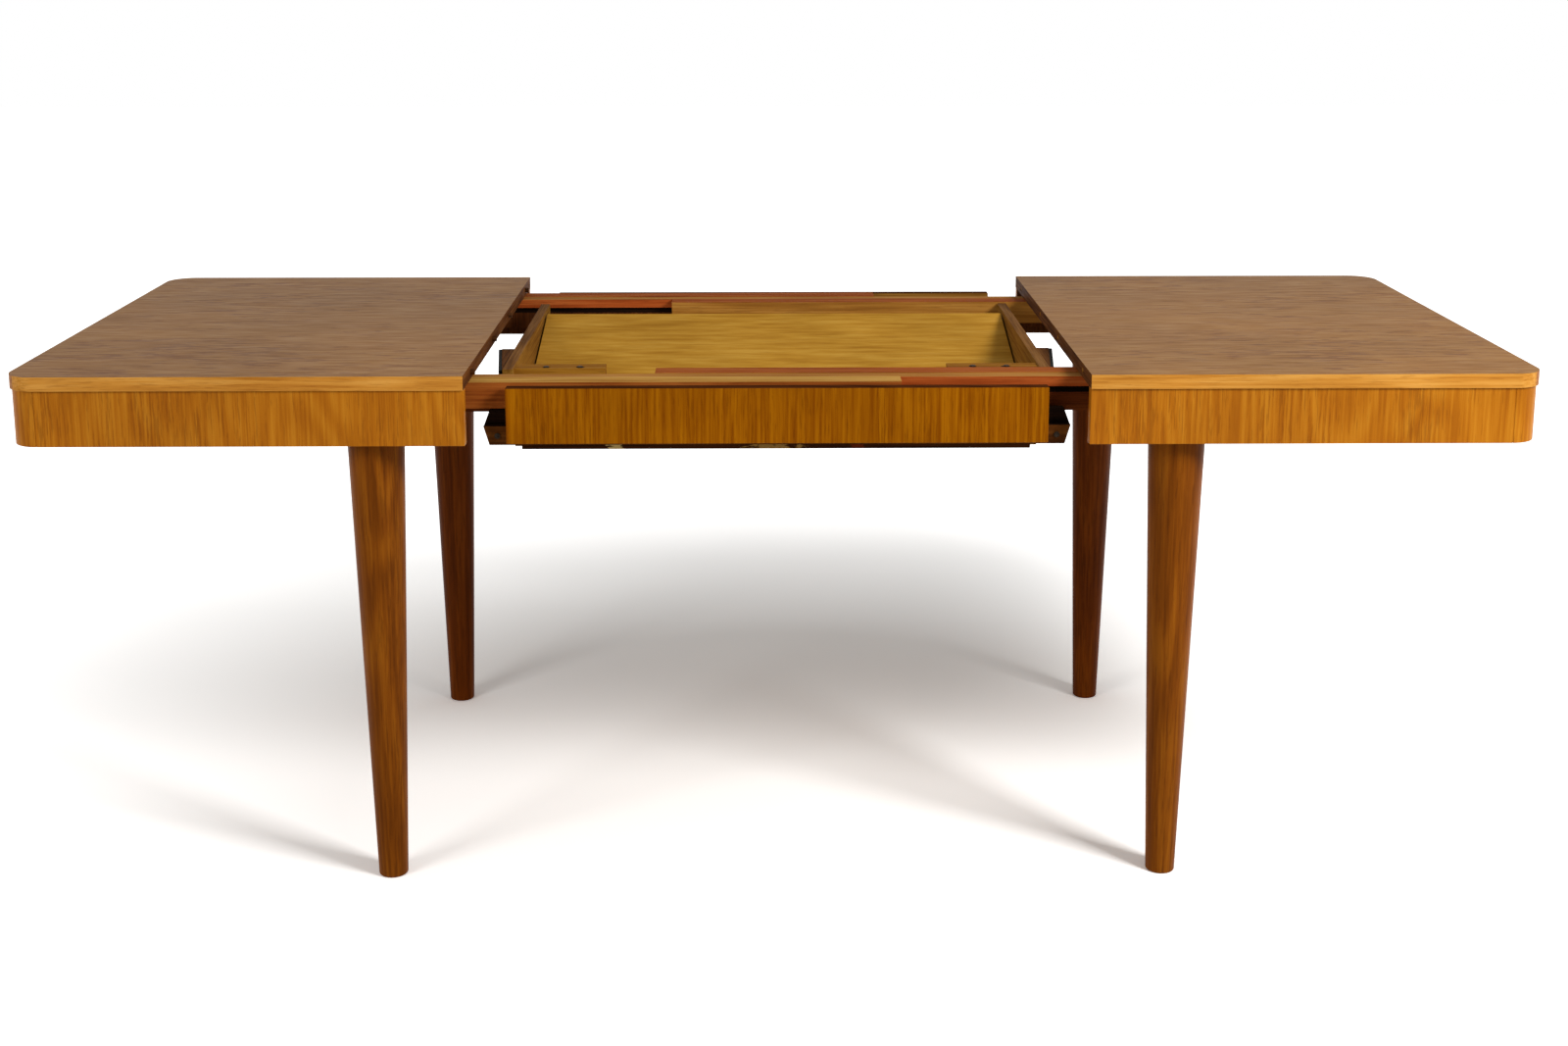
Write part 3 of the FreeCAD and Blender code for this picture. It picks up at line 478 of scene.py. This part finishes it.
# Pieces that keep their solid and only take a finish
plainPieces = {
    "darkSteel": ("leg_bolts", "bearer_screws", "support_screws", "left_runner_screws",
                  "right_runner_screws"),
    "pinWood": ("rail_stop_pins", "left_stop_pins", "right_stop_pins", "locating_pins"),
    "hingeBrass": ("leaf_hinges_lower", "leaf_hinges_upper", "leaf_hinge_pins"),
    "blackRubber": ("side_pads",),
    "frameBrown": ("tray_back_bar", "tray_front_bar", "tray_front_board", "leg_block_front_left",
                   "leg_block_front_right", "leg_block_back_left", "leg_block_back_right"),
    "crossBoard": ("end_rail_left", "end_rail_right"),
}
for name, nodes in plainPieces.items():
    for node in nodes:
        mesh = frame["nodes"][node].data
        mesh.materials.clear()
        mesh.materials.append(finishes[name])
print("small pieces finished")


# 1 for what the camera sees, straight, in a reflection or through a clear piece
def seenRays(tree):
    rays = tree.nodes.new("ShaderNodeLightPath")
    seen = reckon(tree, "MAXIMUM", rays.outputs["Is Camera Ray"], rays.outputs["Is Glossy Ray"])
    return reckon(tree, "MAXIMUM", seen, rays.outputs["Is Transmission Ray"])


def chosen(tree, share, first, second, surface):
    choice = tree.nodes.new("ShaderNodeMixShader")
    tree.links.new(share, choice.inputs["Fac"])
    tree.links.new(first, choice.inputs[1])
    tree.links.new(second, choice.inputs[2])
    tree.links.new(choice.outputs["Shader"], surface)


# Floor that stays white to the camera and keeps the soft shadow
# Its glow rises from lift to farLift, between near and far from the middle
floorLook = {
    "reach": 14.0, "colour": (0.8, 0.795, 0.785, 1.0), "seenColour": (1.56, 1.545, 1.52, 1.0),
    "near": 0.7, "far": 2.3, "lift": 0.06, "farLift": 1.0,
}
bm = bmesh.new()
bmesh.ops.create_grid(bm, x_segments=1, y_segments=1, size=floorLook["reach"])
floorMesh = bpy.data.meshes.new("floor")
bm.to_mesh(floorMesh)
bm.free()
floor = bpy.data.objects.new("floor", floorMesh)
bpy.context.scene.collection.objects.link(floor)
floorFinish, tree, shader, coord = startFinish("floorPaper")
tree.nodes.remove(shader)
paper = tree.nodes.new("ShaderNodeBsdfDiffuse")
paper.inputs["Color"].default_value = floorLook["colour"]
seenPaper = tree.nodes.new("ShaderNodeBsdfDiffuse")
seenPaper.inputs["Color"].default_value = floorLook["seenColour"]
glow = tree.nodes.new("ShaderNodeEmission")
lift = ranged(tree, distance(tree, coord), floorLook["near"], floorLook["far"],
              floorLook["lift"], floorLook["farLift"])
tree.links.new(lift, glow.inputs["Strength"])
lit = tree.nodes.new("ShaderNodeAddShader")
tree.links.new(seenPaper.outputs["BSDF"], lit.inputs[0])
tree.links.new(glow.outputs["Emission"], lit.inputs[1])
chosen(tree, seenRays(tree), paper.outputs["BSDF"], lit.outputs["Shader"],
       tree.nodes["Material Output"].inputs["Surface"])
floorMesh.materials.append(floorFinish)

# White surroundings for the camera and for reflections, a plain soft light for the rest
worldLook = {"seen": (1.0, 1.0, 1.0, 1.0), "light": (1.0, 0.99, 0.97, 1.0), "strength": 0.25}
world = bpy.data.worlds.new("studio")
bpy.context.scene.world = world
world.use_nodes = True
tree = world.node_tree
soft = tree.nodes["Background"]
soft.inputs["Color"].default_value = worldLook["light"]
soft.inputs["Strength"].default_value = worldLook["strength"]
white = tree.nodes.new("ShaderNodeBackground")
white.inputs["Color"].default_value = worldLook["seen"]
chosen(tree, seenRays(tree), soft.outputs["Background"], white.outputs["Background"],
       tree.nodes["World Output"].inputs["Surface"])

# Two softboxes in front, the right one higher and stronger
lamps = {
    "softboxLeft": {"place": (-2.0, -1.9, 1.6), "aim": (-0.4, 0.0, 0.55), "size": 0.9, "watts": 18.0},
    "softboxRight": {"place": (2.2, -2.0, 2.4), "aim": (0.3, 0.0, 0.55), "size": 0.9, "watts": 88.0},
}
for name, lamp in lamps.items():
    data = bpy.data.lights.new(name, "AREA")
    data.shape = "SQUARE"
    data.size = lamp["size"]
    data.energy = lamp["watts"]
    obj = bpy.data.objects.new(name, data)
    obj.location = lamp["place"]
    obj.rotation_euler = (Vector(lamp["aim"]) - Vector(lamp["place"])).to_track_quat("-Z", "Y").to_euler()
    bpy.context.scene.collection.objects.link(obj)

# Camera as in the photograph, with its angles in radians
cameraLook = {
    "place": (-0.0248, -3.166, 1.3398), "down": 0.2038, "aside": 0.0122,
    "sensor": 36.0, "lens": 46.99, "shift": -0.1,
}
lens = bpy.data.cameras.new("camera")
lens.sensor_width = cameraLook["sensor"]
lens.lens = cameraLook["lens"]
lens.shift_y = cameraLook["shift"]
camera = bpy.data.objects.new("camera", lens)
camera.location = cameraLook["place"]
camera.rotation_euler = (pi / 2 - cameraLook["down"], 0.0, -cameraLook["aside"])
bpy.context.scene.collection.objects.link(camera)
bpy.context.scene.camera = camera
bpy.context.scene.view_settings.view_transform = "Standard"
print("stage, lamps and camera set")
